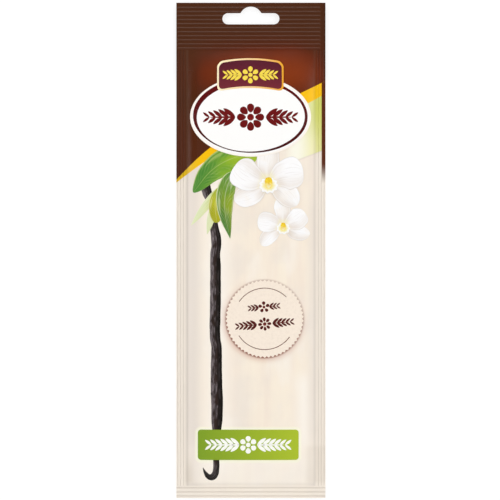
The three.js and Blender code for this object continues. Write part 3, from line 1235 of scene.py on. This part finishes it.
ovalMaterial = makeFilmMaterial("ovalPrint", paintOval)
finishPiece(makeDisc(
    "ovalPrint", liftOf["oval"], ovalMaterial, oval["centre"], oval["radii"], Steps=180, Rings=40))
ringMaterial = makeInkMaterial("ringPrint", oval["ring"], oval["ringLight"], blend="round")
redMaterial = makeInkMaterial("redPrint", oval["red"], oval["redLight"])
ring = perAxis(Centre=oval["centre"], Radius=oval["ringRadii"], Stroke=(oval["stroke"],) * 2)
(lean, leanAngle), (swing, swingAngle) = oval["strokeLean"], oval["strokeSwing"]
finishPiece(makePrint(
    "ovalRingPrint", ringTree, liftOf["ovalMark"], ringMaterial, ring, Steps=240, Rings=3,
    Outset=0.5, Lean=lean, Lean_Angle=math.radians(leanAngle), Swing=swing,
    Swing_Angle=math.radians(swingAngle)))
ovalMiddle = (oval["centre"][0], oval["centre"][1] - oval["ornamentDrop"])
makeLaurel("ovalOrnamentPrint", ovalMiddle, oval["laurel"], liftOf["ovalMark"], redMaterial)
print("oval printed")

# A plain plaque over the oval's upper edge

plaque = {
    "centre": (-0.3, 97.2),
    "half": (18.6, 8.4),
    "corner": 3.2,
    "bow": 2.0,
    "rim": 1.0,
    **inks(gold="f0a92c", goldLight="fff0c8", maroon="56182a", maroonLight="752a35", yellow="f8dc52"),
    "laurel": {
        "hub": 1.2, "petals": 6, "petalLength": 4.8, "petalHalfWidth": 1.3,
        "from": 4.8, "to": 12.6, "stem": 0.4,
        "pairs": 4, "leafLength": 5.2, "leafHalfWidth": 0.85, "lean": 38.0, "endScale": 0.7,
    },
}

goldMaterial = makeInkMaterial("goldPrint", plaque["goldLight"], plaque["gold"])
yellowMaterial = makeInkMaterial("yellowPrint", plaque["yellow"])
maroonMaterial = makeInkMaterial("maroonPrint", plaque["maroonLight"], plaque["maroon"], blend="across")
for name, inset, material in (("plaqueRim", 0, goldMaterial), ("plaque", plaque["rim"], maroonMaterial)):
    half = [size - inset for size in plaque["half"]]
    panel = {**perAxis(Centre=plaque["centre"], Half=half), "Corner": plaque["corner"] - inset / 2}
    panel["Bow"] = plaque["bow"]
    finishPiece(makePrint(name + "Print", panelTree, liftOf[name], material, panel, Columns=80, Rows=32))
plaqueMiddle = (plaque["centre"][0], plaque["centre"][1] + plaque["bow"] / 2)
makeLaurel("plaqueOrnamentPrint", plaqueMiddle, plaque["laurel"], liftOf["plaqueMark"], yellowMaterial)
print("plaque printed")

# The round seal with its toothed edge

def paintPaper(tree):
    x, y = millimetres(tree)
    speckle = noise(x / 1.6, y / 1.6, 4.0, detail=4.0, roughness=0.7)
    return coats(roundel, "paper", (speckle.smooth(0.4, 0.8) * 0.8, "paperDark"))


lineMaterial = makeInkMaterial("linePrint", roundel["line"])
markMaterial = makeInkMaterial("markPrint", roundel["mark"], roundel["markLight"])
finishPiece(makeDisc(
    "roundelPrint", liftOf["roundel"], makeFilmMaterial("roundelPrint", paintPaper),
    roundel["centre"], (roundel["radius"],) * 2, {"Tooth Depth": roundel["toothDepth"]},
    Steps=4 * roundel["teeth"], Rings=30, Teeth=roundel["teeth"]))
arcSizes = perAxis(
    Centre=roundel["centre"], Radius=(roundel["arcRadius"],) * 2, Stroke=(roundel["arcStroke"],) * 2)
finishPiece(joinPieces("roundelArcsPrint", [
    makePrint("roundelArc", ringTree, liftOf["roundelMark"], lineMaterial, arcSizes, Steps=70, Rings=1,
              Start_Angle=math.radians(180 - start - sweep), Sweep=math.radians(sweep))
    for start, sweep in roundel["arcs"]
]))
for row in ("Upper", "Lower"):
    laurel = roundel["laurel" + row]
    middle = [sum(pair) for pair in zip(roundel["centre"], laurel["offset"])]
    lift = liftOf["roundelMark"]
    makeLaurel("roundel" + row + "Print", middle, laurel, lift, markMaterial, roundel["tilt"])
print("roundel printed")

# The green label with a white ornament

labelMaterial = makeInkMaterial("labelPrint", label["left"], label["right"])
whiteMaterial = makeInkMaterial("whitePrint", label["white"])
panel = {**perAxis(Centre=label["centre"], Half=label["half"]), "Corner": label["corner"]}
finishPiece(makePrint(
    "labelPrint", panelTree, liftOf["label"], labelMaterial, panel, Columns=112, Rows=36))
makeLaurel("labelOrnamentPrint", label["centre"], label["laurel"], liftOf["labelMark"], whiteMaterial)
print("label printed")

# Floor, light and camera

studio = {
    "floorSize": 3.0,
    "floorDrop": 0.05 * mm,
    "floorColour": (0.3, 0.3, 0.3, 1.0),
    "floorRoughness": 0.9,
    "floorGlow": 0.76,
    "wallColour": (0.62, 0.62, 0.62, 1.0),
    "ceilingColour": (0.02, 0.02, 0.02, 1.0),  # dark, so that the brown print doesn't mirror it
    "ceilingFade": (0.55, 0.85),  # height of a direction, from walls to ceiling
    "lights": {  # place, width and height, power in watts
        "leftSoftbox": ((-1.3, 0.0, 0.65), (2.6, 1.1), 18.0),
        "rightSoftbox": ((1.3, 0.0, 0.65), (2.6, 1.1), 18.0),
        "topSoftbox": ((0.0, 1.3, 0.6), (1.6, 0.7), 8.0),
        "bottomSoftbox": ((0.0, -1.2, 0.9), (1.6, 1.0), 3.5),
    },
}


def makeFloor():
    size, level = studio["floorSize"] / 2, -studio["floorDrop"]
    mesh = bpy.data.meshes.new("studioFloor")
    corners = [(-size, -size, level), (size, -size, level), (size, size, level), (-size, size, level)]
    mesh.from_pydata(corners, [], [(0, 1, 2, 3)])
    material, shader = startMaterial("studioFloor", 0.0)
    shader.inputs["Base Color"].default_value = studio["floorColour"]
    shader.inputs["Roughness"].default_value = studio["floorRoughness"]
    shader.inputs["Emission Color"].default_value = (1.0, 1.0, 1.0, 1.0)
    shader.inputs["Emission Strength"].default_value = studio["floorGlow"]
    mesh.materials.append(material)
    floor = addObject("studioFloor", mesh)


def makeLights():
    world = bpy.data.worlds.new("studioWorld")
    bpy.context.scene.world = world
    world.use_nodes = True
    tree = world.node_tree
    background = next(node for node in tree.nodes if node.type == "BACKGROUND")
    height = coordinates(tree, "Generated")[2]
    surround = coats(studio, "wallColour", (height.smooth(*studio["ceilingFade"]), "ceilingColour"))
    tree.links.new(surround.socket, background.inputs["Color"])
    for name, (spot, size, power) in studio["lights"].items():
        lamp = bpy.data.lights.new(name, "AREA")
        lamp.shape = "RECTANGLE"
        lamp.size, lamp.size_y = size
        lamp.energy = power
        light = addObject(name, lamp)
        light.location = spot
        light.rotation_euler = (Vector((0, 0, 0)) - Vector(spot)).to_track_quat("-Z", "Y").to_euler()


camera = {
    "aim": (-0.51 * mm, 0.22 * mm),
    "lens": 100,
    "sensor": 36,
    "frameWidth": 280.7 * mm,  # what the picture spans at the height of the seals
}


def makeCamera():
    data = bpy.data.cameras.new("camera")
    data.lens = camera["lens"]
    data.sensor_width = camera["sensor"]
    distance = camera["frameWidth"] * camera["lens"] / camera["sensor"]
    view = addObject("camera", data)
    view.location = (*camera["aim"], film["Seal Middle"] + distance)
    bpy.context.scene.camera = view


makeFloor()
makeLights()
makeCamera()
bpy.context.scene.view_settings.view_transform = "Standard"
print("studio ready")
